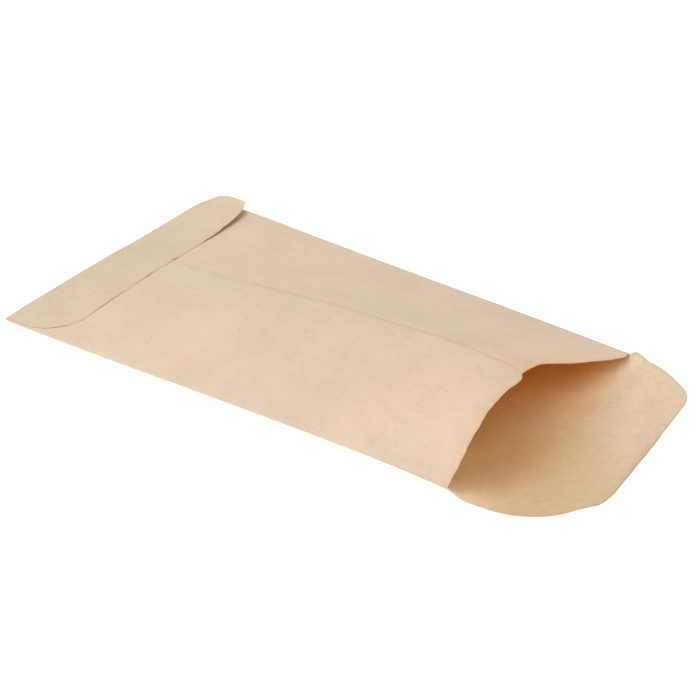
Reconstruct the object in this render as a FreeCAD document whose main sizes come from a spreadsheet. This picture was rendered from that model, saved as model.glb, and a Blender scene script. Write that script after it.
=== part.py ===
import FreeCAD, Part
import math
import os

import Sketcher

# A small open-end kraft paper bag: one sheet folded into a flat sleeve, glued along a seam and across
# the bottom. It lies seam side up, with its mouth gaping and its closing flap stretched out beyond it.
#
# +X runs from the bottom fold to the mouth and on to the closing flap, Z is up, and the lower sheet
# rests on z = 0. The sketches have x = 0 at the bottom fold, and the last step puts the origin below
# the middle of the whole. Each section across the bag is solved from fixed lengths of paper, so the
# sleeve grows narrower as it opens, as a folded sheet does.

DIMENSIONS = [
    ("body_width", 60, "flat width of the sleeve, fold to fold"),
    ("body_length", 100, "bottom fold to mouth"),
    ("paper", 0.16, "thickness of the sheet"),
    ("fold_wall", 0.35, "depth of solid paper inside each long fold"),
    ("flat_width", 30, "middle of the lower sheet, which lies on the table"),
    ("seam_offset", 2.75, "edge of the near panel, past the middle"),
    ("seam_lap", 8, "glued overlap of the two upper panels"),
    ("closed_turn", 2.5, "degrees that the lower sheet turns up to its folds at the bottom"),
    ("open_turn", 39.5, "degrees that it turns up at the mouth"),
    ("opening_power", 0.8, "how that turn grows along the bag"),
    ("rest_depth", 0.004, "depth to which the underside is pressed flat"),
    ("throat_near", 5.9, "how far the near panel is cut back at the seam"),
    ("throat_far", 7.2, "how far the far panel is cut back at the seam"),
    ("throat_step", 2.5, "far side of the near panel's tip, past the middle"),
    ("throat_rounding", 1.0, "radius of that tip"),
    ("flap_length", 21.0, "mouth to free edge, seen from above"),
    ("flap_free_width", 33.4, "width of the free edge before its corners are rounded"),
    ("flap_skew", 1.9, "half the run-out of the free edge"),
    ("flap_side_radius", 30, "radius of the flap's bowed sides"),
    ("flap_near_corner", 2.5, "radius of the flap's near corner"),
    ("flap_far_corner", 4.0, "radius of the flap's far corner"),
    ("flap_rise", 7.2, "how far the free edge stands above the mouth"),
    ("flap_roll", 7.6, "degrees that the free edge is rolled, far side up"),
    ("hem_length", 13.5, "bottom flap, folded over and glued on the panels"),
    ("hem_taper", 1.0, "how much shorter the bottom flap is at its far end"),
    ("hem_corner", 8, "radius of the bottom flap's near corner"),
    ("hem_tip", 4, "radius of its far corner"),
    ("hem_loose", 17, "far stretch of the bottom flap that has come unglued"),
    ("hem_curl_start", 1, "degrees that the loose stretch curls up at the bottom fold"),
    ("hem_curl", 14, "further degrees at its free edge"),
    ("hem_margin", 0.1, "how far inside the near fold the bottom flap ends"),
]

# Fractions of the body length, or of the flap length, at which sections are drawn.
SLEEVE_STATIONS = (0, 0.05, 0.16, 0.4, 0.7, 1)
HEM_STATIONS = SLEEVE_STATIONS[:3]
FLAP_STATIONS = (0, 0.55, 1.15)

# Cuts go this much further than the paper they take away.
CLEARANCE = 80

# Where the solver starts: the near panel's turn for each degree of the lower sheet's turn.
NEAR_TURN = 0.69

# How a sketch numbers the points of an edge, and names its own origin.
START, END, CENTRE = 1, 2, 3
ORIGIN = (-1, 1)


def make_spreadsheet(doc):
    sheet = doc.addObject("Spreadsheet::Sheet", "Dimensions")
    for row, (name, value, meaning) in enumerate(DIMENSIONS, 1):
        sheet.set(f"A{row}", name)
        sheet.set(f"B{row}", str(value))
        sheet.set(f"C{row}", meaning)
        sheet.setAlias(f"B{row}", name)
    doc.recompute()
    return sheet


def origin_plane(body, role):
    return next(plane for plane in body.Origin.OriginFeatures if plane.Role == role)


def vector(point):
    return FreeCAD.Vector(point[0], point[1], 0)


def unit(start, end):
    length = math.dist(start, end)
    return (end[0] - start[0]) / length, (end[1] - start[1]) / length


def offset(point, way, distance):
    return point[0] + distance * way[0], point[1] + distance * way[1]


def turned(way, angle):
    """This direction turned left by this angle in radians."""
    return (way[0] * math.cos(angle) - way[1] * math.sin(angle),
            way[0] * math.sin(angle) + way[1] * math.cos(angle))


def left_of(way):
    return -way[1], way[0]


def arc_centre(start, end, radius):
    """The centre of the short arc that turns left from start to end."""
    way = unit(start, end)
    half = math.dist(start, end) / 2
    return offset(offset(start, way, half), left_of(way), math.sqrt(radius ** 2 - half ** 2))


class Drawing:
    """A sketch on one of its body's planes. Points given to it are only where its solver starts."""

    def __init__(self, body, name, role, **offsets):
        self.sketch = body.newObject("Sketcher::SketchObject", name)
        self.sketch.AttachmentSupport = [(origin_plane(body, role), "")]
        self.sketch.MapMode = "FlatFace"
        for axis, formula in offsets.items():
            self.sketch.setExpression(f"AttachmentOffset.Base.{axis}", formula)

    def line(self, start, end):
        return self.sketch.addGeometry(Part.LineSegment(vector(start), vector(end)))

    def polyline(self, corners):
        return [self.line(corner, following) for corner, following in zip(corners, corners[1:])]

    def arc(self, centre, start, end):
        """Arcs run counter-clockwise."""
        circle = Part.Circle(vector(centre), FreeCAD.Vector(0, 0, 1), math.dist(centre, start))
        angles = [math.atan2(p[1] - centre[1], p[0] - centre[0]) for p in (start, end)]
        return self.sketch.addGeometry(Part.ArcOfCircle(circle, *angles))

    def rule(self, kind, *elements):
        return self.sketch.addConstraint(Sketcher.Constraint(kind, *elements))

    def size(self, name, formula, kind, *elements):
        value = self.value(formula)
        if kind == "Angle":
            value = math.radians(value.Value)
        self.sketch.renameConstraint(self.rule(kind, *elements, value), name)
        self.sketch.setExpression("Constraints." + name, formula)

    def value(self, formula):
        return self.sketch.evalExpression(formula)

    def pin(self, name, edge, point, x, y):
        self.size(name + "_x", x, "DistanceX", edge, point)
        self.size(name + "_y", y, "DistanceY", edge, point)

    def chain(self, edges):
        for edge, following in zip(edges, edges[1:]):
            self.rule("Coincident", edge, END, following, START)

    def loop(self, edges):
        self.chain(edges + edges[:1])


def turn_formula(fraction):
    """Degrees that the lower sheet turns up to its folds at this fraction of the body length."""
    growth = f"{fraction} ^ Dimensions.opening_power"
    return f"(Dimensions.closed_turn + (Dimensions.open_turn - Dimensions.closed_turn) * {growth})"


class Section:
    """Where the corners of a section lie before the sketch is solved."""

    def __init__(self, drawing, turn):
        self.paper = drawing.value("Dimensions.paper")
        angle = math.radians(drawing.value(turn))
        self.flat = drawing.value("Dimensions.flat_width / 2")
        self.side_radius = drawing.value("(Dimensions.body_width - Dimensions.flat_width) / 2") / angle
        self.fold_y = self.flat + self.side_radius * math.sin(angle)
        self.fold_z = self.side_radius * (1 - math.cos(angle))
        near_panel = drawing.value("Dimensions.body_width / 2 + Dimensions.seam_offset")
        near_angle = NEAR_TURN * angle
        self.near_radius = near_panel / near_angle
        self.seam_y = self.near_radius * math.sin(near_angle) - self.fold_y
        rise = self.near_radius * (1 - math.cos(near_angle))
        self.top_z = self.fold_z + 2 * self.paper + rise
        self.near_centre = (self.seam_y, self.top_z - self.near_radius)

    def on_near_arc(self, y, inset):
        drop = math.sqrt((self.near_radius - inset) ** 2 - (y - self.seam_y) ** 2)
        return (y, self.near_centre[1] + drop)

    def on_side_arc(self, y, inset):
        drop = math.sqrt((self.side_radius - inset) ** 2 - (abs(y) - self.flat) ** 2)
        return (y, self.side_radius - drop)


def draw_lower_sheet(drawing, section, turn):
    """The lower sheet's outer face: flat in the middle, and turned up on both sides to the folds."""
    flat, radius = section.flat, section.side_radius
    folds = [(side * section.fold_y, section.fold_z) for side in (-1, 1)]
    near_side = drawing.arc((-flat, radius), folds[0], (-flat, 0))
    bottom = drawing.line((-flat, 0), (flat, 0))
    far_side = drawing.arc((flat, radius), (flat, 0), folds[1])
    drawing.chain([near_side, bottom, far_side])
    drawing.rule("Symmetric", bottom, START, bottom, END, *ORIGIN)
    drawing.rule("Horizontal", bottom)
    drawing.rule("Vertical", bottom, END, far_side, CENTRE)
    drawing.rule("Vertical", bottom, START, near_side, CENTRE)
    drawing.rule("Equal", near_side, far_side)
    drawing.rule("Horizontal", near_side, START, far_side, END)
    drawing.size("flat_width", "Dimensions.flat_width", "DistanceX", bottom, START, bottom, END)
    side = "(Dimensions.body_width - Dimensions.flat_width) / 2"
    drawing.size("side_radius", f"{side} / ({turn} * pi / 180)", "Radius", far_side)
    drawing.size("turn", f"{turn} * 1 deg", "Angle", far_side)
    return near_side, bottom, far_side


def draw_upper_sheet(drawing, section, lower):
    """The two upper panels' outer faces: the bowed near panel ends on top of the straight far one."""
    near_side, bottom, far_side = lower
    y, z, top, paper = section.fold_y, section.fold_z, section.top_z, section.paper
    seam = section.seam_y
    far_fold = drawing.line((y, z), (y, z + 2 * paper))
    far_panel = drawing.line((y, z + 2 * paper), (seam, top - paper))
    step = drawing.line((seam, top - paper), (seam, top))
    near_panel = drawing.arc(section.near_centre, (seam, top), (-y, z + 2 * paper))
    near_fold = drawing.line((-y, z + 2 * paper), (-y, z))
    drawing.chain([far_side, far_fold, far_panel, step, near_panel, near_fold, near_side])
    for edge in (far_fold, step, near_fold):
        drawing.rule("Vertical", edge)
    drawing.rule("Vertical", step, END, near_panel, CENTRE)
    drawing.size("far_fold", "2 * Dimensions.paper", "DistanceY", far_fold, START, far_fold, END)
    drawing.size("near_fold", "2 * Dimensions.paper", "DistanceY", near_fold, END, near_fold, START)
    drawing.size("seam_step", "Dimensions.paper", "DistanceY", step, START, step, END)
    half = "Dimensions.body_width / 2"
    drawing.size("far_length", f"{half} - Dimensions.seam_offset", "Distance", far_panel)
    drawing.size("near_length", f"{half} + Dimensions.seam_offset", "Distance", near_panel)
    return far_fold, far_panel, step, near_panel, near_fold


def draw_inside(drawing, section, lower, upper):
    """The sleeve's inner faces, one thickness in, with the far panel's edge lapped under the near one."""
    near_side, bottom, far_side = lower
    far_fold, far_panel, step, near_panel, near_fold = upper
    paper = section.paper
    wall_y = section.fold_y - drawing.value("Dimensions.fold_wall")
    lap_y = section.seam_y - drawing.value("Dimensions.seam_lap")
    under_seam = (section.seam_y, section.top_z - 2 * paper)
    fold_low = section.on_side_arc(wall_y, paper)
    fall = (section.fold_z + 3 * paper - section.top_z) / (section.fold_y - section.seam_y)
    fold_high = (wall_y, under_seam[1] + fall * (wall_y - section.seam_y))
    near_low = (-fold_low[0], fold_low[1])
    near_high = section.on_near_arc(-wall_y, paper)
    lap_low, lap_high = (section.on_near_arc(lap_y, inset * paper) for inset in (2, 1))
    floor_start, floor_end = ((side * section.flat, paper) for side in (-1, 1))

    floor = drawing.line(floor_start, floor_end)
    far_bend = drawing.arc((section.flat, section.side_radius), floor_end, fold_low)
    far_wall = drawing.line(fold_low, fold_high)
    far_roof = drawing.line(fold_high, under_seam)
    lap_roof = drawing.arc(section.near_centre, under_seam, lap_low)
    lap_edge = drawing.line(lap_low, lap_high)
    near_roof = drawing.arc(section.near_centre, lap_high, near_high)
    near_wall = drawing.line(near_high, near_low)
    near_bend = drawing.arc((-section.flat, section.side_radius), near_low, floor_start)
    drawing.loop([floor, far_bend, far_wall, far_roof, lap_roof, lap_edge, near_roof, near_wall, near_bend])

    drawing.rule("Horizontal", floor)
    drawing.rule("Vertical", bottom, START, floor, START)
    drawing.rule("Vertical", bottom, END, floor, END)
    for edge in (far_wall, lap_edge, near_wall):
        drawing.rule("Vertical", edge)
    for inner, outer in ((far_bend, far_side), (near_bend, near_side),
                         (lap_roof, near_panel), (near_roof, near_panel)):
        drawing.rule("Coincident", inner, CENTRE, outer, CENTRE)
    drawing.rule("Parallel", far_panel, far_roof)
    drawing.rule("Vertical", step, START, far_roof, END)
    drawing.rule("PointOnObject", step, START, near_roof)
    drawing.size("floor", "Dimensions.paper", "DistanceY", bottom, START, floor, START)
    drawing.size("far_roof", "Dimensions.paper", "DistanceY", far_roof, END, step, START)
    drawing.size("far_wall", "Dimensions.fold_wall", "DistanceX", far_wall, START, far_fold, START)
    drawing.size("near_wall", "Dimensions.fold_wall", "DistanceX", near_fold, END, near_wall, END)
    drawing.size("seam_lap", "Dimensions.seam_lap", "DistanceX", lap_edge, START, step, START)


def draw_sleeve_section(body, fraction):
    drawing = Drawing(body, "SleeveSection", "YZ_Plane", z=f"Dimensions.body_length * {fraction}")
    turn = turn_formula(fraction)
    section = Section(drawing, turn)
    lower = draw_lower_sheet(drawing, section, turn)
    upper = draw_upper_sheet(drawing, section, lower)
    draw_inside(drawing, section, lower, upper)
    return drawing.sketch


def loft(body, name, sketches):
    feature = body.newObject("PartDesign::AdditiveLoft", name)
    feature.Profile = sketches[0]
    feature.Sections = sketches[1:]
    return feature


def pocket(body, name, drawing, depth, **options):
    feature = body.newObject("PartDesign::Pocket", name)
    feature.Profile = drawing.sketch
    feature.Length = depth
    for option, value in options.items():
        setattr(feature, option, value)
    return feature


def close_bottom(body):
    """The lower sheet comes up round the bottom fold, one thickness deep."""
    drawing = Drawing(body, "BottomFoldOutline", "YZ_Plane")
    turn = turn_formula(0)
    section = Section(drawing, turn)
    lower = draw_lower_sheet(drawing, section, turn)
    draw_upper_sheet(drawing, section, lower)
    fold = body.newObject("PartDesign::Pad", "BottomFold")
    fold.Profile = drawing.sketch
    fold.Reversed = True
    fold.setExpression("Length", "Dimensions.paper")


def mouth_fold_formulas():
    """How far the mouth's folds stand from the middle, and how high."""
    turn = "(Dimensions.open_turn * 1 deg)"
    radius = "(Dimensions.body_width - Dimensions.flat_width) / 2 / (Dimensions.open_turn * pi / 180)"
    return f"(Dimensions.flat_width / 2 + {radius} * sin({turn}))", f"({radius} * (1 - cos({turn})))"


def cut_throat(body):
    """The upper panels are cut back in a shallow V, with a step where the near one ends at the seam."""
    fold_y, fold_z = mouth_fold_formulas()
    drawing = Drawing(body, "ThroatOutline", "XY_Plane", z=f"{fold_z} + Dimensions.paper")
    mouth = drawing.value("Dimensions.body_length")
    half = drawing.value(fold_y)
    step_y = drawing.value("Dimensions.throat_step")
    radius = drawing.value("Dimensions.throat_rounding")
    near_x = mouth - drawing.value("Dimensions.throat_near")
    far_x = mouth - drawing.value("Dimensions.throat_far")
    clear_x = mouth + drawing.value("Dimensions.flap_length")
    tip_centre = (near_x - radius, step_y - radius)
    near_edge = drawing.line((mouth, -half), (near_x, step_y - radius))
    tip = drawing.arc(tip_centre, (near_x, step_y - radius), (near_x - radius, step_y))
    step = drawing.line((near_x - radius, step_y), (far_x, step_y))
    far_edge = drawing.line((far_x, step_y), (mouth, half))
    far_side = drawing.line((mouth, half), (clear_x, half))
    beyond = drawing.line((clear_x, half), (clear_x, -half))
    near_side = drawing.line((clear_x, -half), (mouth, -half))
    drawing.chain([step, far_edge, far_side, beyond, near_side, near_edge])
    for edge in (step, far_side, near_side):
        drawing.rule("Horizontal", edge)
    drawing.rule("Vertical", beyond)
    drawing.rule("Tangent", near_edge, END, tip, START)
    drawing.rule("Tangent", tip, END, step, START)
    drawing.size("rounding", "Dimensions.throat_rounding", "Radius", tip)
    drawing.pin("near_mouth", near_edge, START, "Dimensions.body_length", f"-{fold_y}")
    drawing.pin("far_mouth", far_edge, END, "Dimensions.body_length", fold_y)
    notch_x = "Dimensions.body_length - Dimensions.throat_far"
    drawing.pin("notch", step, END, notch_x, "Dimensions.throat_step")
    drawing.size("tip", "Dimensions.body_length - Dimensions.throat_near", "DistanceX", tip, START)
    drawing.size("clear", "Dimensions.flap_length", "DistanceX", near_side, END, near_side, START)
    pocket(body, "Throat", drawing, CLEARANCE, Reversed=True)


def press_underside(body):
    """The lower sheet's middle bears on the table in one plane."""
    drawing = Drawing(body, "UndersideOutline", "XY_Plane", z="Dimensions.rest_depth")
    length, half = drawing.value("Dimensions.body_length"), drawing.value("Dimensions.body_width / 2")
    corners = [(0, -half), (length, -half), (length, half), (0, half)]
    edges = drawing.polyline(corners + corners[:1])
    drawing.loop(edges)
    for near_or_far, end in (edges[0], edges[1]), (edges[2], edges[3]):
        drawing.rule("Horizontal", near_or_far)
        drawing.rule("Vertical", end)
    drawing.pin("near_corner", edges[0], START, "-Dimensions.paper", "-Dimensions.body_width / 2")
    drawing.pin("far_corner", edges[2], START, "Dimensions.body_length", "Dimensions.body_width / 2")
    pocket(body, "Underside", drawing, CLEARANCE)


def draw_flap_section(body, fraction):
    """The closing flap is the lower sheet alone. It flattens, rises and rolls towards its free edge."""
    offsets = {"y": f"Dimensions.flap_rise * {fraction}",
               "z": f"Dimensions.body_length + Dimensions.flap_length * {fraction}"}
    drawing = Drawing(body, "FlapSection", "YZ_Plane", **offsets)
    roll = f"Dimensions.flap_roll * {fraction} * 1 deg"
    drawing.sketch.setExpression("AttachmentOffset.Rotation.Angle", roll)
    left = max(1 - fraction, 0)
    turn = f"(Dimensions.closed_turn + (Dimensions.open_turn - Dimensions.closed_turn) * {left})"
    section = Section(drawing, turn)
    near_side, bottom, far_side = draw_lower_sheet(drawing, section, turn)
    paper = section.paper
    rim_y = section.fold_y - paper * math.sin(math.radians(drawing.value(turn)))
    rim = section.on_side_arc(rim_y, paper)
    far_end = drawing.line((section.fold_y, section.fold_z), rim)
    far_bend = drawing.arc((section.flat, section.side_radius), (section.flat, paper), rim)
    floor = drawing.line((section.flat, paper), (-section.flat, paper))
    near_centre = (-section.flat, section.side_radius)
    near_bend = drawing.arc(near_centre, (-rim[0], rim[1]), (-section.flat, paper))
    near_end = drawing.line((-rim[0], rim[1]), (-section.fold_y, section.fold_z))
    drawing.rule("Coincident", far_side, END, far_end, START)
    drawing.rule("Coincident", far_end, END, far_bend, END)
    drawing.rule("Coincident", far_bend, START, floor, START)
    drawing.rule("Coincident", floor, END, near_bend, END)
    drawing.rule("Coincident", near_bend, START, near_end, START)
    drawing.rule("Coincident", near_end, END, near_side, START)
    drawing.rule("Horizontal", floor)
    drawing.rule("Vertical", bottom, START, floor, END)
    drawing.rule("Vertical", bottom, END, floor, START)
    for inner, outer, end in ((far_bend, far_side, far_end), (near_bend, near_side, near_end)):
        drawing.rule("Coincident", inner, CENTRE, outer, CENTRE)
        drawing.rule("PointOnObject", outer, CENTRE, end)
    drawing.size("floor", "Dimensions.paper", "DistanceY", bottom, START, floor, END)
    return drawing.sketch


def trim_flap(body):
    """Everything outside the flap's outline comes off: bowed, tapering sides and rounded corners."""
    fold_y, _ = mouth_fold_formulas()
    drawing = Drawing(body, "FlapOutline", "XY_Plane")
    free_x = "(Dimensions.body_length + Dimensions.flap_length)"
    mouth, free = drawing.value("Dimensions.body_length"), drawing.value(free_x)
    half, free_half = drawing.value(fold_y), drawing.value("Dimensions.flap_free_width / 2")
    skew = drawing.value("Dimensions.flap_skew")
    radius = drawing.value("Dimensions.flap_side_radius")
    near_r, far_r = (drawing.value(f"Dimensions.flap_{side}_corner") for side in ("near", "far"))
    start, corner = (mouth, -half), (free + skew, -free_half)
    far_start, far_corner = (mouth, half), (free - skew, free_half)
    near_leave = offset(corner, unit(corner, start), near_r)
    near_join = offset(corner, unit(corner, far_corner), near_r)
    far_leave = offset(far_corner, unit(far_corner, corner), far_r)
    far_join = offset(far_corner, unit(far_corner, far_start), far_r)
    inward = left_of(unit(corner, far_corner))

    near_side = drawing.arc(arc_centre(start, near_leave, radius), start, near_leave)
    near_round = drawing.arc(offset(near_join, inward, near_r), near_leave, near_join)
    free_edge = drawing.line(near_join, far_leave)
    far_round = drawing.arc(offset(far_leave, inward, far_r), far_leave, far_join)
    far_side = drawing.arc(arc_centre(far_join, far_start, radius), far_join, far_start)
    clear_x, clear_y = 2 * free - mouth, 2 * half
    ring = [far_start, (mouth, clear_y), (clear_x, clear_y), (clear_x, -clear_y), (mouth, -clear_y), start]
    outside = drawing.polyline(ring)
    drawing.chain([far_side] + outside + [near_side])
    for vertical in outside[0::2]:
        drawing.rule("Vertical", vertical)
    for horizontal in outside[1::2]:
        drawing.rule("Horizontal", horizontal)

    edge_line = drawing.line(corner, far_corner)
    drawing.sketch.setConstruction(edge_line, True)
    free_y = "Dimensions.flap_free_width / 2"
    drawing.pin("near_free", edge_line, START, f"{free_x} + Dimensions.flap_skew", f"-{free_y}")
    drawing.pin("far_free", edge_line, END, f"{free_x} - Dimensions.flap_skew", free_y)
    drawing.pin("near_mouth", near_side, START, "Dimensions.body_length", f"-{fold_y}")
    drawing.pin("far_mouth", far_side, END, "Dimensions.body_length", fold_y)
    drawing.pin("clear", outside[2], START, f"{free_x} + Dimensions.flap_length", "Dimensions.body_width")
    drawing.size("clear_width", "2 * Dimensions.body_width", "DistanceY", outside[2], END, outside[2], START)
    drawing.rule("PointOnObject", edge_line, START, near_side)
    drawing.rule("PointOnObject", edge_line, END, far_side)
    drawing.size("near_bow", "Dimensions.flap_side_radius", "Radius", near_side)
    drawing.size("far_bow", "Dimensions.flap_side_radius", "Radius", far_side)
    drawing.rule("Tangent", near_side, END, near_round, START)
    drawing.rule("Tangent", near_round, END, free_edge, START)
    drawing.rule("Tangent", free_edge, END, far_round, START)
    drawing.rule("Tangent", far_round, END, far_side, START)
    drawing.rule("PointOnObject", free_edge, START, edge_line)
    drawing.rule("PointOnObject", free_edge, END, edge_line)
    drawing.size("near_corner", "Dimensions.flap_near_corner", "Radius", near_round)
    drawing.size("far_corner", "Dimensions.flap_far_corner", "Radius", far_round)
    pocket(body, "FlapTrim", drawing, CLEARANCE, Midplane=True)


def draw_hem_section(body, fraction):
    """The bottom flap across the bag: sunk into the panels where it is glued, curled up where it is not."""
    place = f"Dimensions.body_length * {fraction}" if fraction else "-Dimensions.paper"
    drawing = Drawing(body, "HemSection", "YZ_Plane", z=place)
    turn = turn_formula(fraction)
    section = Section(drawing, turn)
    lower = draw_lower_sheet(drawing, section, turn)
    upper = draw_upper_sheet(drawing, section, lower)
    for edge in lower + upper:
        drawing.sketch.setConstruction(edge, True)
    _, far_panel, step, near_panel, _ = upper

    paper, seam, top = section.paper, section.seam_y, section.top_z
    sunk = paper / 2
    growth = f"({fraction} / {HEM_STATIONS[-1]}) ^ 2"
    curl = f"(Dimensions.hem_curl_start + Dimensions.hem_curl * {growth})"
    loose_length = drawing.value("Dimensions.hem_loose")
    loose_angle = math.radians(drawing.value(curl))
    loose_radius = loose_length / loose_angle
    fold = (section.fold_y, section.fold_z + 2 * paper)
    along = unit((seam, top - paper), fold)
    up = left_of(along)
    glued = math.dist((seam, top - paper), fold) - loose_length
    glue_end = (seam + glued * along[0], top - paper - sunk + glued * along[1])
    loose_centre = offset(glue_end, up, loose_radius)
    tip_way = turned(up, math.pi + loose_angle)
    tip = offset(loose_centre, tip_way, loose_radius)
    tip_top = offset(loose_centre, tip_way, loose_radius - paper)
    near_y = drawing.value("Dimensions.hem_margin") - section.fold_y

    near_low = drawing.arc(section.near_centre, (seam, top - sunk), section.on_near_arc(near_y, sunk))
    riser = drawing.line((seam, top - sunk), (seam, top - sunk - paper))
    glued_low = drawing.line((seam, top - sunk - paper), glue_end)
    loose_low = drawing.arc(loose_centre, glue_end, tip)
    tip_end = drawing.line(tip, tip_top)
    loose_high = drawing.arc(loose_centre, offset(glue_end, up, paper), tip_top)
    bridge = drawing.line(offset(glue_end, up, paper), (seam, top + paper))
    near_high = drawing.arc(section.near_centre, (seam, top + paper), section.on_near_arc(near_y, -paper))
    near_end = drawing.line(section.on_near_arc(near_y, -paper), section.on_near_arc(near_y, sunk))
    corners = ((near_low, START, riser, START), (riser, END, glued_low, START),
               (loose_low, END, tip_end, START), (tip_end, END, loose_high, END),
               (loose_high, START, bridge, START), (bridge, END, near_high, START),
               (near_high, END, near_end, START), (near_end, END, near_low, END))
    for corner in corners:
        drawing.rule("Coincident", *corner)
    drawing.rule("Coincident", near_low, CENTRE, near_panel, CENTRE)
    drawing.rule("Coincident", near_high, CENTRE, near_panel, CENTRE)
    drawing.rule("Vertical", riser)
    drawing.rule("Vertical", step, END, riser, START)
    drawing.rule("Vertical", step, END, bridge, END)
    drawing.rule("Vertical", near_end)
    drawing.rule("Parallel", glued_low, far_panel)
    drawing.rule("Tangent", glued_low, END, loose_low, START)
    drawing.rule("Coincident", loose_high, CENTRE, loose_low, CENTRE)
    drawing.rule("PointOnObject", loose_low, CENTRE, tip_end)
    drawing.size("sunk", "Dimensions.paper / 2", "DistanceY", riser, START, step, END)
    drawing.size("riser", "Dimensions.paper", "DistanceY", riser, END, riser, START)
    drawing.size("raised", "Dimensions.paper", "DistanceY", step, END, bridge, END)
    drawing.size("near_margin", "Dimensions.hem_margin", "DistanceX", near_panel, END, near_end, END)
    drawing.size("glued", "Dimensions.body_width / 2 - Dimensions.seam_offset - Dimensions.hem_loose",
                 "Distance", glued_low)
    drawing.size("loose", "Dimensions.hem_loose", "Distance", loose_low)
    drawing.size("curl", f"{curl} * 1 deg", "Angle", loose_low)
    drawing.size("curl_above", f"{curl} * 1 deg", "Angle", loose_high)
    drawing.size("loose_paper", "Dimensions.paper", "Distance", tip_end)
    return drawing.sketch


def trim_hem(body):
    """The bottom flap's free edge, with a broad near corner and a smaller far one."""
    drawing = Drawing(body, "HemOutline", "XY_Plane")
    length, taper = (drawing.value(f"Dimensions.hem_{name}") for name in ("length", "taper"))
    near_r, far_r = (drawing.value(f"Dimensions.hem_{name}") for name in ("corner", "tip"))
    side = drawing.value("Dimensions.body_width / 2")
    near_x, far_x = length - near_r, length - taper - far_r
    clear_x, clear_y = 2 * length, 2 * side
    near_round = drawing.arc((near_x, near_r - side), (near_x, -side), (length, near_r - side))
    free_edge = drawing.line((length, near_r - side), (far_x + far_r, side - far_r))
    far_round = drawing.arc((far_x, side - far_r), (far_x + far_r, side - far_r), (far_x, side))
    ring = [(far_x, side), (far_x, clear_y), (clear_x, clear_y), (clear_x, -clear_y), (near_x, -clear_y),
            (near_x, -side)]
    outside = drawing.polyline(ring)
    drawing.chain([far_round] + outside + [near_round])
    drawing.rule("Tangent", near_round, END, free_edge, START)
    drawing.rule("Tangent", free_edge, END, far_round, START)
    for vertical in outside[0::2]:
        drawing.rule("Vertical", vertical)
    for horizontal in outside[1::2]:
        drawing.rule("Horizontal", horizontal)
    half = "Dimensions.body_width / 2"
    near_start = "Dimensions.hem_length - Dimensions.hem_corner"
    far_start = "Dimensions.hem_length - Dimensions.hem_taper - Dimensions.hem_tip"
    drawing.pin("near_side", near_round, START, near_start, f"-{half}")
    drawing.pin("far_side", far_round, END, far_start, half)
    drawing.pin("clear_far", outside[2], START, "2 * Dimensions.hem_length", "Dimensions.body_width")
    drawing.size("clear_width", "2 * Dimensions.body_width", "DistanceY", outside[2], END, outside[2], START)
    drawing.rule("Vertical", near_round, START, near_round, CENTRE)
    drawing.rule("Vertical", far_round, END, far_round, CENTRE)
    drawing.size("near_corner", "Dimensions.hem_corner", "Radius", near_round)
    drawing.size("far_corner", "Dimensions.hem_tip", "Radius", far_round)
    pocket(body, "HemTrim", drawing, CLEARANCE, Midplane=True)


def make_sleeve(doc):
    body = doc.addObject("PartDesign::Body", "Sleeve")
    loft(body, "SleeveLoft", [draw_sleeve_section(body, fraction) for fraction in SLEEVE_STATIONS])
    close_bottom(body)
    cut_throat(body)
    press_underside(body)
    loft(body, "FlapLoft", [draw_flap_section(body, fraction) for fraction in FLAP_STATIONS])
    trim_flap(body)
    return body


def make_hem(doc):
    body = doc.addObject("PartDesign::Body", "Hem")
    loft(body, "HemLoft", [draw_hem_section(body, fraction) for fraction in HEM_STATIONS])
    trim_hem(body)
    return body


def make_folded_sheet(doc):
    """The whole sheet as one solid, moved so that the origin is below the middle of its outline."""
    bag = doc.addObject("Part::Fuse", "FoldedSheet")
    bag.Base, bag.Tool = make_sleeve(doc), make_hem(doc)
    bag.Label = "folded_sheet"
    reach = "(Dimensions.body_length + Dimensions.flap_length + Dimensions.flap_skew)"
    bag.setExpression("Placement.Base.x", f"(Dimensions.paper - {reach}) / 2")
    bag.setExpression("Placement.Base.z", "-Dimensions.rest_depth")
    return bag


def check(doc, bag):
    for item in doc.Objects:
        if "Invalid" in item.State or "Error" in item.State:
            raise RuntimeError(f"{item.Label} could not be built: {item.State}")
        if item.isDerivedFrom("Sketcher::SketchObject") and not item.FullyConstrained:
            raise RuntimeError(f"{item.Label} is not fully constrained")
    if bag.Shape.isNull() or not bag.Shape.isValid() or len(bag.Shape.Solids) != 1:
        raise RuntimeError(f"{bag.Label} is not one valid solid")


def main():
    doc = FreeCAD.newDocument("kraft_paper_bag")
    make_spreadsheet(doc)
    bag = make_folded_sheet(doc)
    doc.recompute()
    check(doc, bag)
    os.makedirs("parts", exist_ok=True)
    bag.Shape.exportStep(f"parts/{bag.Label}.step")
    print(f"{bag.Label}: {bag.Shape.Volume:.0f} cubic mm, {len(bag.Shape.Faces)} faces")


main()
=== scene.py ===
"""A small kraft paper bag: one sheet, folded and glued, gaping at its mouth on a pale floor.

The bag's shape is worked out in millimetres, with x = 0 at the bottom fold, y = 0 in the middle and
z = 0 on the floor. It is moved into the frame's place, in metres, when its mesh is made.
"""

import math

import bpy
import numpy as np
from mathutils import Matrix, Vector


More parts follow.
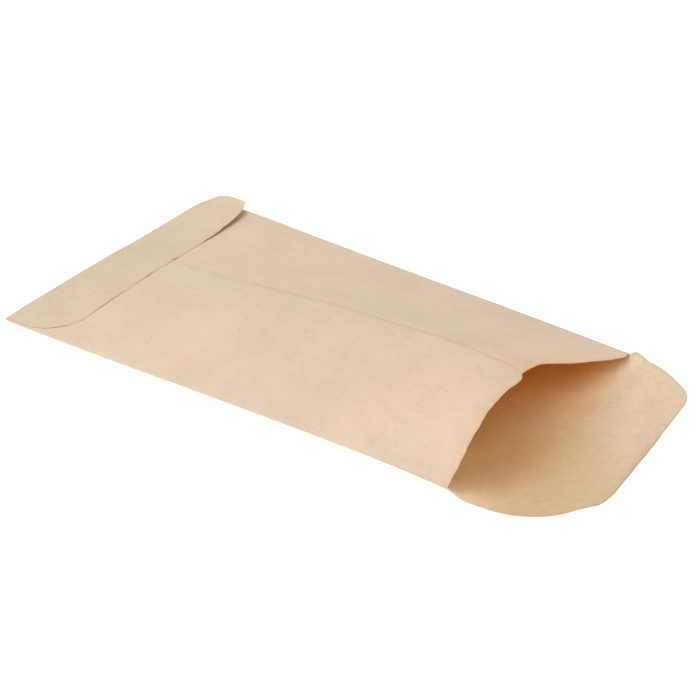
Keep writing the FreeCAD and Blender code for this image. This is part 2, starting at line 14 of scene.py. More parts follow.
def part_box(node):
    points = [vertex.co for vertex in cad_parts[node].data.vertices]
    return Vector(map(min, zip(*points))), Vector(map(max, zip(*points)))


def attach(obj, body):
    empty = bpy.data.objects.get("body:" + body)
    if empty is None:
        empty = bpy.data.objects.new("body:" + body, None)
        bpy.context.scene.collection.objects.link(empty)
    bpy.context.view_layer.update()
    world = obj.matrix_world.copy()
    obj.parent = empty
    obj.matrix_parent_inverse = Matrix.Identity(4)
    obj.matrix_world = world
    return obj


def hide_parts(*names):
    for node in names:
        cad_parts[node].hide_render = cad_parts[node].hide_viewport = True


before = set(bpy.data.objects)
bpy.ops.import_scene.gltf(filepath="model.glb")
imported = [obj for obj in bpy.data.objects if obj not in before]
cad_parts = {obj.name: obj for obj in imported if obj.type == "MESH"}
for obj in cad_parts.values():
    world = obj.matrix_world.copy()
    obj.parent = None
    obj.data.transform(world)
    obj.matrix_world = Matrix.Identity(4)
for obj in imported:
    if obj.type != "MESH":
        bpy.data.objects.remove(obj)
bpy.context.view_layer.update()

MM = 0.001
low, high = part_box("folded_sheet")

# The sheet. Places across it are measured along the paper from the middle, the near side negative.
PAPER = 0.13
GLUE = 0.01
LAYER = PAPER + GLUE
LENGTH = 100.0
HALF = round((high.y - low.y) / MM) / 2
SEAM = 2.6
LAP = 8.0
FOLD_RADIUS = 0.17
FOLD_SHARE = 0.25
PANEL_END = HALF - FOLD_SHARE

# How the sleeve opens: the turn of the lower sheet up to each fold, in radians, along the bag. The
# panels arch up from both folds to a ridge, each with its own bow.
FLAT_HALF = 15.0
LEAST_TURN = 0.01
NEAR_TURNS = ((0, 0.01), (25, 0.24), (50, 0.48), (75, 0.69), (92, 0.8), (100, 0.8))
FAR_TURNS = ((0, 0.01), (12, 0.165), (25, 0.22), (50, 0.335), (75, 0.495), (100, 0.63))
RIDGE = 2.1
NEAR_BOW = 1.45
RIDGE_BEND = 2.8
FAR_BOW = -0.6

# The ridge's height over that of an even arch, at places along the bag, and how wide that reaches.
RIDGE_SAG = ((0, 0), (15, 0), (35, 0.3), (58, 0.6), (76, 0.25), (90, -0.95), (100, -2.2))
SAG_REACH = 20.0

# Where the near panel climbs from its fold onto the far one, and how its seam edge wanders.
CLIMB_START = -28.0
CLIMB_WIDTH = 20.0
WANDER_WIDTH = 3.0
WANDER_END = 85.0
WANDER_FADE = 10.0

# The throat: how far each panel is cut back from the mouth, at places across it.
NEAR_THROAT = (
    (-30, 0.2), (-28.5, 0.5), (-26, 0.65), (-22, 1.4), (-18, 2.05),
    (-14, 2.95), (-11.5, 3.65), (-8.5, 4.0), (-5, 4.65), (-2, 4.7), (3, 5.5),
)
NEAR_TIP = 2.8
FAR_THROAT = (
    (-6, 6.05), (3.5, 6.05), (6.5, 6.4), (10, 6.4), (15, 4.2),
    (20, 2.0), (24, 0.4), (27.5, -0.5), (30, -0.1),
)

# The closing flap: how each side tapers and curves, the dip in the near one and the step in the far
# one by the fold, the free edge's skew and bow, how it rises, and how its corners are rounded.
FLAP = 20.6
NEAR_TAPER, NEAR_CURVE = 4.4, 10.8
FAR_TAPER, FAR_CURVE = 0.1, 9.4
NEAR_DIP = 0.7
NEAR_DIP_AT = 0.88
NEAR_DIP_WIDTH = 0.09
FAR_STEP = 1.15
FAR_STEP_START = 0.4
FAR_STEP_END = 5.5
FAR_STEP_FADE = 3.7
FLAP_SKEW = 2.6
FLAP_SKEW_POWER = 1.5
FLAP_BOW = 0.22
FLAP_BOW_AT = 3.0
FLAP_BOW_WIDTH = 9.0
FLAP_RISE = 6.0
FLAP_ROLL = 0.06
FLAP_TURN = -0.08
NEAR_CORNER = (5.0, 1.2)
FAR_CORNER = (2.9, 3.3)
BEND_START = 0.02
BEND_SOFTNESS = 0.12
BEND_SHARE = 0.3
LIFT_FROM = 70.0

# The bottom flap, folded over and glued on the panels: how far it reaches, its near corner, its
# taper and cut at the far end, the lift of its loose end, the gaps under its free edge, and how soon
# it comes down past the seam.
START = 0.4
HEM = 13.8
HEM_SIDE = 3.4
HEM_CORNER = 9.1
HEM_TAPER = 2.2
HEM_TAPER_FROM = 1.0
HEM_TAPER_REACH = 25.0
HEM_END = 4.5
HEM_END_CUT = 1.4
HEM_END_POWER = 1.4
HEM_LIFT = 2.1
LIFT_SHAPE = ((0, 0.1), (1.5, 0.54), (3.3, 0.84), (5.5, 1.0), (8, 0.98), (12, 0.8))
HEM_GAPS = ((-27.5, 1.5, 0.2), (-16.5, 4, 0.1), (-4.8, 1.3, 0.15), (2.5, 1.5, 0.04))
LOOSE_FROM = 9.5
LOOSE_POWER = 1.4
SEAM_STEP = 3.0

# Both ends of the bottom fold are blunt: from how far off the middle, and by how much.
NEAR_BLUNT, NEAR_CUT = 23.0, 0.3
FAR_BLUNT, FAR_CUT = 24.0, 1.1
BLUNT_REACH = 8.0

# Soft unevenness of the paper: the height of each wave, its length, its direction and its phase. On
# the panels it dies away towards the long folds and the bottom fold.
WAVES = ((0.07, 34, 0.5, 0.3), (0.05, 21, 1.9, 2.1), (0.035, 13, 2.7, 4.4), (0.02, 9, 1.1, 1.2))
FREE_FROM_FOLD = 6.0
FREE_FROM_END = 25.0

# Ripples of the cut edges and of the seam: the height of each, its length over 2 pi, and its phase.
# The closing flap's free edge has a part of them.
RAGGED = ((0.06, 0.9, 1.3), (0.04, 0.47, 0), (0.05, 2.3, 0))
SEAM_WANDER = ((0.22, 6.5, 0.4), (0.12, 2.7, 0))
FREE_EDGE_RAGGED, FREE_EDGE_POWER = 0.4, 8

# How the paper can be marked: rubbed at a fold; greyer by a cut edge, partly fuzz and partly painted
# shade of the edge; darker by the edge of a seam, partly the joint and partly painted shadow of that
# edge; by the edge of a throat, warmer outside and with painted shadow on the inner face; browner
# free edge of the closing flap; darker on the bottom flap; and pressed flat at the bottom flap's
# free edge.
MARKS = ("wear", "cut", "seam", "rim", "tan", "glued", "pressed")
CREASE_SOFTNESS = 0.35
CUT_SOFTNESS = 0.4
RIM_SOFTNESS = 0.8
TAN_SOFTNESS = 1.5
TAN_REACH = 10.0
SEAM_FAINT = 0.45
SEAM_FAINT_TO = 12.0
SEAM_FADE = 30.0
HEM_SIDE_CUT = 0.2
HEM_EDGE_SEAM = 0.3
HEM_EDGE_PRESSED = 0.7

# How finely the mesh is divided: steps in millimetres or in shares of a length, and counts.
COLUMN_STEP = 0.8
FOLD_COLUMNS = 7
ROW_STEP, ROW_CROWDING = 0.008, 0.3
HEM_STEP, HEM_CROWDING = 0.04, 0.8
FOLD_ROWS = 10
FLAP_ROWS, FLAP_CROWDING = 39, 1.7


def smooth(value):
    """Eases from 0 to 1 as the value goes from 0 to 1."""
    value = np.clip(value, 0, 1)
    return value * value * (3 - 2 * value)


def through(points, x):
    """A smooth curve through these points."""
    at, value = np.array(points, float).T
    slope = np.gradient(value, at)
    k = np.clip(np.searchsorted(at, x) - 1, 0, len(at) - 2)
    width = at[k + 1] - at[k]
    t = (x - at[k]) / width
    rise = value[k] * (2 * t**3 - 3 * t**2 + 1) + value[k + 1] * (3 * t**2 - 2 * t**3)
    return rise + width * (slope[k] * (t**3 - 2 * t**2 + t) + slope[k + 1] * (t**3 - t**2))


def bump(value, middle, width):
    """A soft bump, 1 high."""
    return np.exp(-(((value - middle) / width) ** 2))


def unevenness(x, across):
    """How far the paper stands off its even shape, mostly less than a tenth of a millimetre."""
    rise = 0
    for height, length, direction, phase in WAVES:
        along = x * math.cos(direction) + across * math.sin(direction)
        rise = rise + height * np.sin(2 * math.pi * along / length + phase)
    return rise


def ripple(place, waves):
    """The sum of some waves along an edge."""
    return sum(height * np.sin(place / length + phase) for height, length, phase in waves)


def ragged(place):
    """How far a cut edge strays from its line."""
    return ripple(place, RAGGED)


def beside(*distances, softness=CREASE_SOFTNESS):
    """1 at the nearest of some edges or creases, dying away from it."""
    nearest = np.minimum.reduce(np.broadcast_arrays(*distances))
    return np.exp(-np.clip(nearest, 0, None) / softness)


def marked(x, y, z, **marks):
    """Points, and how strongly the paper is marked there in each of those ways."""
    strengths = [marks.get(name, 0.0) for name in MARKS]
    return np.stack(np.broadcast_arrays(x, y, z, *strengths), axis=-1)


# ---- the sleeve's sections ----


def turns(x):
    """How far the lower sheet turns up to its near and far folds, this far along the bag."""
    x = np.clip(x, 0, LENGTH)
    return through(NEAR_TURNS, x), through(FAR_TURNS, x)


def lower_section(near_turn, far_turn, across):
    """The lower sheet across the bag: flat in the middle, turned up evenly to both folds."""
    turn = np.where(across < 0, near_turn, far_turn)
    turn = np.where(np.abs(turn) < LEAST_TURN, LEAST_TURN, turn)
    radius = (HALF - FLAT_HALF) / turn
    bend = np.maximum(np.abs(across) - FLAT_HALF, 0) / radius
    y = np.minimum(np.abs(across), FLAT_HALF) + radius * np.sin(bend)
    return np.sign(across) * y, radius * (1 - np.cos(bend)) + PAPER / 2


def fold_end(turn, lean):
    """From the lower sheet round a fold to a panel that leans back in: how far out, and up."""
    out = FOLD_RADIUS * (np.sin(lean) - np.sin(turn))
    return out, FOLD_RADIUS * (np.cos(turn) + np.cos(lean))


# The panels' sections are worked out at stations along the bag and at samples across it. Halving
# finds how steeply each one arches, so that its paper just fits between the folds.
STATIONS = 100
SAMPLES = np.linspace(-PANEL_END, PANEL_END, 241)
STEP = SAMPLES[1] - SAMPLES[0]
STEEPEST_ARCH = 200.0
STEEPEST_PAPER = 0.97
HALVINGS = 50


def arch_slope():
    """The panels' slope across the bag, climbing to the ridge and falling to the far fold."""
    near = np.clip((RIDGE - SAMPLES) / (RIDGE + HALF), 0, 1) ** NEAR_BOW
    past = np.clip(SAMPLES - RIDGE, 0, None)
    far = np.tanh(past / RIDGE_BEND) * (1 + FAR_BOW * past / (HALF - RIDGE))
    return near / near.sum() - far / far.sum()


def along_curve(rate):
    """Sums a rate at the samples into a place at the samples, starting from 0."""
    steps = (rate[:, 1:] + rate[:, :-1]) / 2 * STEP
    return np.concatenate([np.zeros((len(rate), 1)), np.cumsum(steps, axis=1)], axis=1)


def make_arches():
    """The panels' sections at stations along the bag, each with all its paper between the folds."""
    x = LENGTH * np.linspace(0, 1, STATIONS + 1) ** 2
    near_turn, far_turn = turns(x)
    near_y, near_z = lower_section(near_turn, far_turn, np.full_like(x, -PANEL_END))
    far_y, far_z = lower_section(near_turn, far_turn, np.full_like(x, PANEL_END))
    slope = arch_slope()[None, :]
    least, most = np.zeros(len(x)), np.full(len(x), STEEPEST_ARCH)
    for _ in range(HALVINGS):
        steepness = (least + most) / 2
        sine = np.clip(steepness[:, None] * slope, -STEEPEST_PAPER, STEEPEST_PAPER)
        angle = np.arcsin(sine)
        near_out, near_up = fold_end(near_turn, angle[:, 0])
        far_out, far_up = fold_end(far_turn, -angle[:, -1])
        y = along_curve(np.cos(angle))
        too_wide = y[:, -1] > far_y + far_out - near_y + near_out
        least = np.where(too_wide, steepness, least)
        most = np.where(too_wide, most, steepness)
    z = along_curve(np.sin(angle))
    level = (far_z + far_up - near_z - near_up - z[:, -1]) / y[:, -1]
    z = z + near_z[:, None] + near_up[:, None] + level[:, None] * y
    y = y + (near_y - near_out)[:, None]
    return y, z, angle[:, 0], -angle[:, -1]


ARCH_Y, ARCH_Z, NEAR_LEAN, FAR_LEAN = make_arches()


def lean(x, table):
    """How far a panel leans in from its fold, this far along the bag."""
    return np.interp(np.sqrt(np.clip(x / LENGTH, 0, 1)) * STATIONS, np.arange(STATIONS + 1), table)


def between(table, row, column):
    """Reads a table between its entries."""
    i = np.clip(row.astype(int), 0, table.shape[0] - 2)
    j = np.clip(column.astype(int), 0, table.shape[1] - 2)
    u, v = row - i, column - j
    near = table[i, j] * (1 - v) + table[i, j + 1] * v
    return near * (1 - u) + (table[i + 1, j] * (1 - v) + table[i + 1, j + 1] * v) * u


def panel_surface(x, across):
    """The surface that the far panel lies in, and the near one on top of it past the lap."""
    row = np.sqrt(np.clip(x / LENGTH, 0, 1)) * STATIONS
    column = (across + PANEL_END) / STEP
    y, z = between(ARCH_Y, row, column), between(ARCH_Z, row, column)
    reach = smooth(1 - np.abs(across - RIDGE) / SAG_REACH)
    free = smooth((HALF - np.abs(across)) / FREE_FROM_FOLD) * smooth(x / FREE_FROM_END)
    return y, z + reach * through(RIDGE_SAG, x) + free * unevenness(x, across)


def near_offset(across):
    """The near panel climbs from its fold onto the far one."""
    return LAYER * smooth((across - CLIMB_START) / CLIMB_WIDTH)


def near_throat(across):
    """Where the near panel ends at the mouth, with a rounded tip at the seam."""
    into_tip = np.clip(across - (SEAM - NEAR_TIP), 0, NEAR_TIP)
    tip = NEAR_TIP - np.sqrt(NEAR_TIP**2 - into_tip**2)
    return LENGTH - through(NEAR_THROAT, across) - tip + ragged(across)


def far_throat(across):
    """Where the far panel ends."""
    return LENGTH - through(FAR_THROAT, across) + ragged(across)


# ---- the closing flap ----


def near_side(share):
    """How far the flap's near side stands from the middle, at this share of the flap's length."""
    dip = NEAR_DIP * bump(share, NEAR_DIP_AT, NEAR_DIP_WIDTH)
    return PANEL_END - NEAR_TAPER * share - NEAR_CURVE * share**2 - dip


def far_side(share):
    """The same for the far side, which stands out a little for a short way beside the fold."""
    x = share * FLAP
    step = FAR_STEP * smooth(x / FAR_STEP_START) * smooth((FAR_STEP_END - x) / FAR_STEP_FADE)
    return PANEL_END - FAR_TAPER * share - FAR_CURVE * share**2 + step


def rounded_side(side, share, corner):
    """A side of the flap with its corner rounded off, this far along the free edge and the side."""
    rounding, along = corner
    start = 1 - along / FLAP
    t = 1 - np.sqrt(np.clip((1 - share) / (1 - start), 0, 1))
    end = side(1.0)
    rounded = (1 - t) ** 2 * side(start) + 2 * t * (1 - t) * end + t**2 * (end - rounding)
    return np.where(share > start, rounded, side(share))


def soft_bend(value):
    """Almost zero before the bend, then rising evenly, with a soft turn between."""
    return (value - BEND_START) + np.sqrt((value - BEND_START) ** 2 + BEND_SOFTNESS**2)


def soft_ramp(value):
    """The same, scaled to be 1 at 1."""
    return soft_bend(value) / soft_bend(1.0)


def floor_lift(x, across):
    """How high the sheet is off the floor as it bends up into the flap, in its middle first."""
    share = (x - LENGTH) / FLAP
    whole = smooth(share / BEND_SHARE)
    middle = 1 - (across / HALF) ** 2
    return FLAP_RISE * soft_ramp(share) * (whole + (1 - whole) * middle)


def lower_surface(x, across):
    """The lower sheet, from the bottom fold to the mouth."""
    y, z = lower_section(*turns(x), across)
    return y, z + np.where(x > LIFT_FROM, floor_lift(x, across), 0)


def flap_surface(share, across):
    """The closing flap, which flattens, rises and rolls a little towards its free edge."""
    near_turn, far_turn = (turn + (FLAP_TURN - turn) * share for turn in turns(LENGTH))
    y, z = lower_section(near_turn, far_turn, across)
    roll = FLAP_ROLL * share
    lift = floor_lift(LENGTH + FLAP * share, across) + share * unevenness(FLAP * share, across)
    return y * np.cos(roll) - z * np.sin(roll), y * np.sin(roll) + z * np.cos(roll) + lift


# ---- the bottom flap ----


def hem_reach(across):
    """How far the bottom flap comes over the panels."""
    taper = HEM_TAPER * np.clip((across - HEM_TAPER_FROM) / HEM_TAPER_REACH, 0, None)
    into_end = np.clip((across - PANEL_END + HEM_END) / HEM_END, 0, None)
    end = HEM_END_CUT * into_end**HEM_END_POWER
    into_corner = np.clip((-across - (HALF - HEM_CORNER)) / HEM_CORNER, 0, 1)
    corner = (HEM - HEM_SIDE) * (1 - np.sqrt(1 - into_corner**2))
    return HEM - taper - end - corner + ragged(across)


def hem_lift(x, across):
    """Its far end has come unglued and stands up, and its free edge isn't stuck down everywhere."""
    loose = np.clip((across - LOOSE_FROM) / (HALF - LOOSE_FROM), 0, None)
    end = HEM_LIFT * loose**LOOSE_POWER * through(LIFT_SHAPE, x)
    gap = sum(height * bump(across, middle, width) for middle, width, height in HEM_GAPS)
    return end + gap * np.clip(x / HEM, 0, 1) ** 3


def hem_surface(x, across):
    """The bottom flap lies on the near panel, and past the seam on the far one."""
    y, z = panel_surface(x, across)
    past_seam = smooth((across - SEAM) / SEAM_STEP)
    return y, z + near_offset(across) + LAYER * (1 - past_seam) + hem_lift(x, across)


# ---- the mesh ----


def spread(start, end, step, crowding=0.5):
    """Places from start to end, closer together towards both ends."""
    count = max(2, int(math.ceil(abs(end - start) / step)))
    even = np.linspace(0, 1, count + 1)
    crowded = 0.5 - 0.5 * np.cos(np.pi * even)
    return start + (end - start) * ((1 - crowding) * even + crowding * crowded)


def wrap_columns():
    """Every column round the sleeve, from the far panel's hidden edge to the near panel's edge."""
    fold = np.linspace(0, 1, FOLD_COLUMNS + 2)[1:-1]
    columns = [("far_panel", across) for across in spread(SEAM - LAP, PANEL_END, COLUMN_STEP)]
    columns += [("far_fold", share) for share in fold[::-1]]
    columns += [("lower", across) for across in spread(PANEL_END, -PANEL_END, COLUMN_STEP)]
    columns += [("near_fold", share) for share in fold]
    columns += [("near_panel", across) for across in spread(-PANEL_END, SEAM, COLUMN_STEP)]
    return columns


def fold_point(x, side, share):
    """A point on the long fold's small arc."""
    near_turn, far_turn = turns(x)
    turn = near_turn if side < 0 else far_turn
    angle = lean(x, NEAR_LEAN if side < 0 else FAR_LEAN)
    y, z = lower_section(near_turn, far_turn, np.full_like(x, side * PANEL_END))
    round_it = share * (math.pi - turn - angle)
    out = FOLD_RADIUS * (np.sin(turn + round_it) - np.sin(turn))
    return y + side * out, z + FOLD_RADIUS * (np.cos(turn) - np.cos(turn + round_it))


def seam_wander(x, across):
    """The near panel's glued edge isn't quite straight."""
    by_seam = smooth((across - SEAM + WANDER_WIDTH) / WANDER_WIDTH)
    return ripple(x, SEAM_WANDER) * by_seam * smooth((WANDER_END - x) / WANDER_FADE)


def fold_column(kind, place, share):
    """One column round a long fold, from its bottom end to the mouth."""
    x = START + (LENGTH - START) * share
    y, z = fold_point(x, -1 if kind == "near_fold" else 1, place)
    return marked(x, y, z, wear=1.0)


def lower_column(place, share):
    """One column of the lower sheet."""
    x = START + (LENGTH - START) * share
    across = np.full_like(x, place)
    y, z = lower_surface(x, across)
    return marked(x, y, z, wear=beside(PANEL_END - np.abs(across)))


def panel_column(kind, place, share):
    """One column of an upper panel. The near one lies on top and ends at the seam."""
    is_near = kind == "near_panel"
    end = near_throat(np.float64(place)) if is_near else far_throat(np.float64(place))
    x = START + (end - START) * share
    across = np.full_like(x, place)
    if is_near:
        across = across + seam_wander(x, across)
    y, z = panel_surface(x, across)
    seam = 0.0
    if is_near:
        z = z + near_offset(across)
        faint = SEAM_FAINT + (1 - SEAM_FAINT) * smooth((x - SEAM_FAINT_TO) / SEAM_FADE)
        seam = faint * beside(SEAM - place, softness=CUT_SOFTNESS)
    rim = beside(end - x, softness=RIM_SOFTNESS)
    return marked(x, y, z, wear=beside(PANEL_END - np.abs(across)), seam=seam, rim=rim)


def column_points(kind, place, share):
    """One column of the sleeve, whatever its kind."""
    if kind.endswith("panel"):
        return panel_column(kind, place, share)
    if kind.endswith("fold"):
        return fold_column(kind, place, share)
    return lower_column(place, share)


def flap_rows(lower):
    """The closing flap's rows, from just past the mouth to its free edge."""
    part = (lower[0] - lower) / (lower[0] - lower[-1])
    rows = []
    for share in 1 - (1 - np.linspace(0, 1, FLAP_ROWS + 1)[1:]) ** FLAP_CROWDING:
        near = -rounded_side(near_side, share, NEAR_CORNER)
        far = rounded_side(far_side, share, FAR_CORNER)
        across = far + (near - far) * part
        y, z = flap_surface(share, across)
        skew = -FLAP_SKEW * (across / far_side(1.0)) * share**FLAP_SKEW_POWER
        cut = beside(FLAP * (1 - share), across - near, far - across, softness=CUT_SOFTNESS)
        tan = beside(FLAP * (1 - share), softness=TAN_SOFTNESS)
        tan = tan * smooth((TAN_REACH - across) / TAN_REACH)
        bow = FLAP_BOW * bump(across, FLAP_BOW_AT, FLAP_BOW_WIDTH) * share**2
        rough = FREE_EDGE_RAGGED * ragged(across) * share**FREE_EDGE_POWER
        x = LENGTH + FLAP * share + skew + bow + rough
        rows.append(marked(x, y, z, cut=cut, tan=tan))
    return rows


def hem_rows(lower):
    """The bottom flap's rows: round the bottom fold, then over the panels to its free edge."""
    start = np.full_like(lower, START)
    low_y, low_z = lower_surface(start, lower)
    top_y, top_z = hem_surface(start, lower)
    rows = []
    for angle in np.linspace(-math.pi / 2, math.pi / 2, FOLD_ROWS + 1)[1:]:
        up = (1 + math.sin(angle)) / 2
        x = start * (1 - math.cos(angle))
        y, z = low_y + (top_y - low_y) * up, low_z + (top_z - low_z) * up
        rows.append(marked(x, y, z, wear=1.0, glued=up))
    for share in spread(0, 1, HEM_STEP, HEM_CROWDING)[1:]:
        x = START + (hem_reach(lower) - START) * share
        y, z = hem_surface(x, lower)
        to_edge = hem_reach(lower) - x
        cut = HEM_SIDE_CUT * beside(PANEL_END - np.abs(lower))
        seam = HEM_EDGE_SEAM * beside(to_edge, softness=CUT_SOFTNESS)
        pressed = HEM_EDGE_PRESSED * beside(to_edge, softness=RIM_SOFTNESS)
        wear = beside(x - START)
        rows.append(marked(x, y, z, wear=wear, cut=cut, seam=seam, glued=1.0, pressed=pressed))
    return rows


def cut_corners(points):
    """Both ends of the bottom fold are a little blunt."""
    beside_fold = np.clip(1 - points[:, 0] / BLUNT_REACH, 0, 1)
    near = np.clip((-points[:, 1] - NEAR_BLUNT) / (HALF - NEAR_BLUNT), 0, None) ** 2
    far = np.clip((points[:, 1] - FAR_BLUNT) / (HALF - FAR_BLUNT), 0, None) ** 2
    points[:, 0] += (NEAR_CUT * near + FAR_CUT * far) * beside_fold
    return points


def grid_faces(index):
    """Quads over a grid of vertex numbers."""
    a, b, c, d = index[:-1, :-1], index[:-1, 1:], index[1:, 1:], index[1:, :-1]
    return np.stack([a, b, c, d], axis=-1).reshape(-1, 4)


def make_sheet():
    """Points, their marks and the faces of the folded sheet, one surface with its faces outward."""
    columns = wrap_columns()
    share = spread(0, 1, ROW_STEP, ROW_CROWDING)
    wrap = np.stack([column_points(kind, place, share) for kind, place in columns], axis=1)
    points = [wrap.reshape(-1, 3 + len(MARKS))]
    index = np.arange(wrap.shape[0] * wrap.shape[1]).reshape(wrap.shape[:2])
    is_lower = np.array([kind == "lower" for kind, _ in columns])
    lower = np.array([place for kind, place in columns if kind == "lower"])
    faces = [grid_faces(index)]
    count = index.size
    flap = (flap_rows(lower), index[-1, is_lower], 1)
    hem = (hem_rows(lower), index[0, is_lower], -1)
    for rows, shared, onward in (flap, hem):
        numbers = count + np.arange(len(rows) * len(lower)).reshape(len(rows), len(lower))
        points.append(np.concatenate(rows))
        faces.append(grid_faces(np.concatenate([shared[None, :], numbers])[::onward]))
        count += numbers.size
    points = cut_corners(np.concatenate(points))
    return points[:, :3], points[:, 3:], np.concatenate(faces)[:, ::-1]


def point_normals(points, faces):
    """The mean direction that the faces round each point look in."""
    corner = points[faces]
    across = np.cross(corner[:, 2] - corner[:, 0], corner[:, 3] - corner[:, 1])
    normals = np.zeros_like(points)
    for k in range(4):
        np.add.at(normals, faces[:, k], across)
    return normals / np.linalg.norm(normals, axis=1)[:, None]


def rim_faces(faces, count):
    """Quads that close the cut edge, between a sheet and its copy, whose points follow its own."""
    edges = np.concatenate([faces[:, [k, (k + 1) % 4]] for k in range(4)])
    key = np.sort(edges, axis=1)
    _, first, uses = np.unique(key[:, 0] * count + key[:, 1], return_index=True, return_counts=True)
    free = edges[first[uses == 1]]
    return np.stack([free[:, 1], free[:, 0], free[:, 0] + count, free[:, 1] + count], axis=-1)


def to_frame(points):
    """From the sheet's own millimetres to the frame's metres."""
    return points * MM + np.array([low.x + PAPER * MM, 0, low.z])


def add_attribute(mesh, name, values):
    """Stores one number or three at each of the mesh's points."""
    kind, field = ("FLOAT", "value") if values.ndim == 1 else ("FLOAT_VECTOR", "vector")
    attribute = mesh.attributes.new(name, kind, "POINT")
    attribute.data.foreach_set(field, values.astype(np.float32).ravel())


def sharpen_rim(mesh, rim):
    """The cut edge meets both faces of the paper at a right angle."""
    count = len(mesh.vertices)
    ends = np.empty(len(mesh.edges) * 2, dtype=np.int32)
    mesh.edges.foreach_get("vertices", ends)
    ends = np.sort(ends.reshape(-1, 2), axis=1)
    sharp = np.sort(np.concatenate([rim[:, :2], rim[:, 2:]]), axis=1)
    is_sharp = np.isin(ends[:, 0] * count + ends[:, 1], sharp[:, 0] * count + sharp[:, 1])
    mesh.attributes.new("sharp_edge", "BOOLEAN", "EDGE").data.foreach_set("value", is_sharp)


# ---- how the paper's colour changes by place, with painted light and shade ----

# Painted shade makes the paper orange deep inside the mouth: where that begins, at places across the
# bag, and how far it takes to grow. It fades again towards the bottom fold.
DEPTH_END = ((-30, 108), (-18, 111), (-6, 115), (6, 116.5), (18, 121), (30, 123))
DEPTH_LENGTH = 44.0
DEPTH_FROM = 20.0
DEPTH_FADE = 30.0

# Painted shade browns it in a band across the mouth, between these places, and most in the mouth's
# middle.
SHADE_END = ((-30, 130), (-18, 130), (-6, 124), (6, 116), (18, 109), (30, 102))
SHADE_START = ((-30, 100), (-20, 95), (-10, 86), (0, 75), (10, 82), (20, 96), (30, 104))
SHADE_LENGTH = 12.0
SHADE_STRENGTH = 0.6
CORE_STRENGTH = 0.45

# Spots are given by their place along and across the bag, their length and their width.
CORE_SPOT = (102.0, -7.0, 7.0, 13.0)
LIT_SPOT = (100.0, -30.0, 7.0, 10.0)
# Painted orange shade in the mouth, in its middle and by the far fold.
MOUTH_SHADE_SPOT = (98.0, 3.0, 4.0, 14.0)
FAR_MOUTH_SHADE_SPOT = (93.5, 25.0, 4.5, 6.0)
FAR_MOUTH_SHADE_STRENGTH = 1.5

# Patches are spots with a slant and a tint: painted light and painted shade that make the inner face
# lighter or darker there.
INNER_PATCHES = (
    ((94.5, -12.0, 5.0, 11.0), 0.0, (1.30, 1.24, 0.98)),
    ((98.2, 24.5, 2.2, 4.5), 0.67, (1.22, 1.42, 1.42)),
    ((93.0, 24.0, 2.2, 3.5), 0.67, (0.84, 0.76, 0.66)),
    ((93.0, -1.0, 2.5, 9.0), 0.0, (1.11, 1.04, 1.0)),
    ((98.5, -24.0, 2.5, 5.0), 0.0, (1.12, 1.22, 1.2)),
    ((101.5, -8.0, 3.5, 12.0), 0.0, (0.91, 0.87, 0.86)),
    ((105.5, 7.0, 4.0, 8.0), 0.0, (1.01, 1.06, 1.06)),
    ((96.0, 11.0, 3.0, 5.0), 0.0, (0.96, 0.93, 0.85)),
    ((120.0, 3.0, 3.5, 7.0), 0.0, (0.92, 0.92, 0.91)),
)

# Patches on the outer face, from this height up: painted light that makes the far panel's middle
# paler, and duller on the near one by the mouth.
TOP_FROM = 1.0
TOP_FADE = 1.0
PALER_PATCH = ((62.0, 14.0, 30.0, 9.0), 0.0, (1.055, 1.07, 1.06))
DULLER_PATCH = ((102.0, -30.0, 14.0, 9.0), 0.0, (0.92, 0.935, 0.99))


def spot(x, y, place, slant=0.0):
    """A soft round or long spot, 1 in its middle."""
    along, across, length, width = place
    return bump(x, along + slant * (y - across), length) * bump(y, across, width)


def patch_tint(x, y, patches, share=1.0):
    """The tint of all these patches together."""
    tint = np.ones((len(x), 3))
    for place, slant, colour in patches:
        strength = spot(x, y, place, slant) * share
        tint = tint * (1 + strength[:, None] * (np.array(colour) - 1))
    return tint


def inner_depth(x, y):
    """How deep in the bag a place looks, from 0 in the open to 1, for its painted shade."""
    depth = np.clip((through(DEPTH_END, y) - x) / DEPTH_LENGTH, 0, 1)
    return depth * smooth((x - DEPTH_FROM) / DEPTH_FADE)


def inner_shade(x, y):
    """How strongly painted shade browns the paper there."""
    outward = np.clip((through(SHADE_END, y) - x) / SHADE_LENGTH, 0, 1)
    inward = np.clip((x - through(SHADE_START, y)) / SHADE_LENGTH, 0, 1)
    band = smooth(outward) * smooth(inward)
    return SHADE_STRENGTH * band + CORE_STRENGTH * spot(x, y, CORE_SPOT)


def outer_tint(x, y, z):
    """The tint of the outer face's two patches. The duller one stops at the mouth."""
    on_top = smooth((z - TOP_FROM) / TOP_FADE)
    paler = patch_tint(x, y, [PALER_PATCH], on_top)
    return paler * patch_tint(x, y, [DULLER_PATCH], on_top * (x < LENGTH))


def add_looks(mesh, points, marks):
    """Stores the marks on both faces, and what differs between the outer and the inner one, mostly
    painted light and shade.
    """
    x, y, z = points.T
    outer = np.zeros(len(points))
    for name, values in zip(MARKS, marks.T):
        add_attribute(mesh, name, np.tile(values, 2))
    inner = {
        "inside": np.ones(len(points)),
        "depth": inner_depth(x, y),
        "shade": inner_shade(x, y),
        "lit": spot(x, y, LIT_SPOT),
        # Painted orange shade in the mouth.
        "mouth_shade": spot(x, y, MOUTH_SHADE_SPOT) + FAR_MOUTH_SHADE_STRENGTH * spot(x, y, FAR_MOUTH_SHADE_SPOT),
    }
    for name, values in inner.items():
        add_attribute(mesh, name, np.concatenate([outer, values]))
    patches = [outer_tint(x, y, z), patch_tint(x, y, INNER_PATCHES)]
    add_attribute(mesh, "patches", np.concatenate(patches))


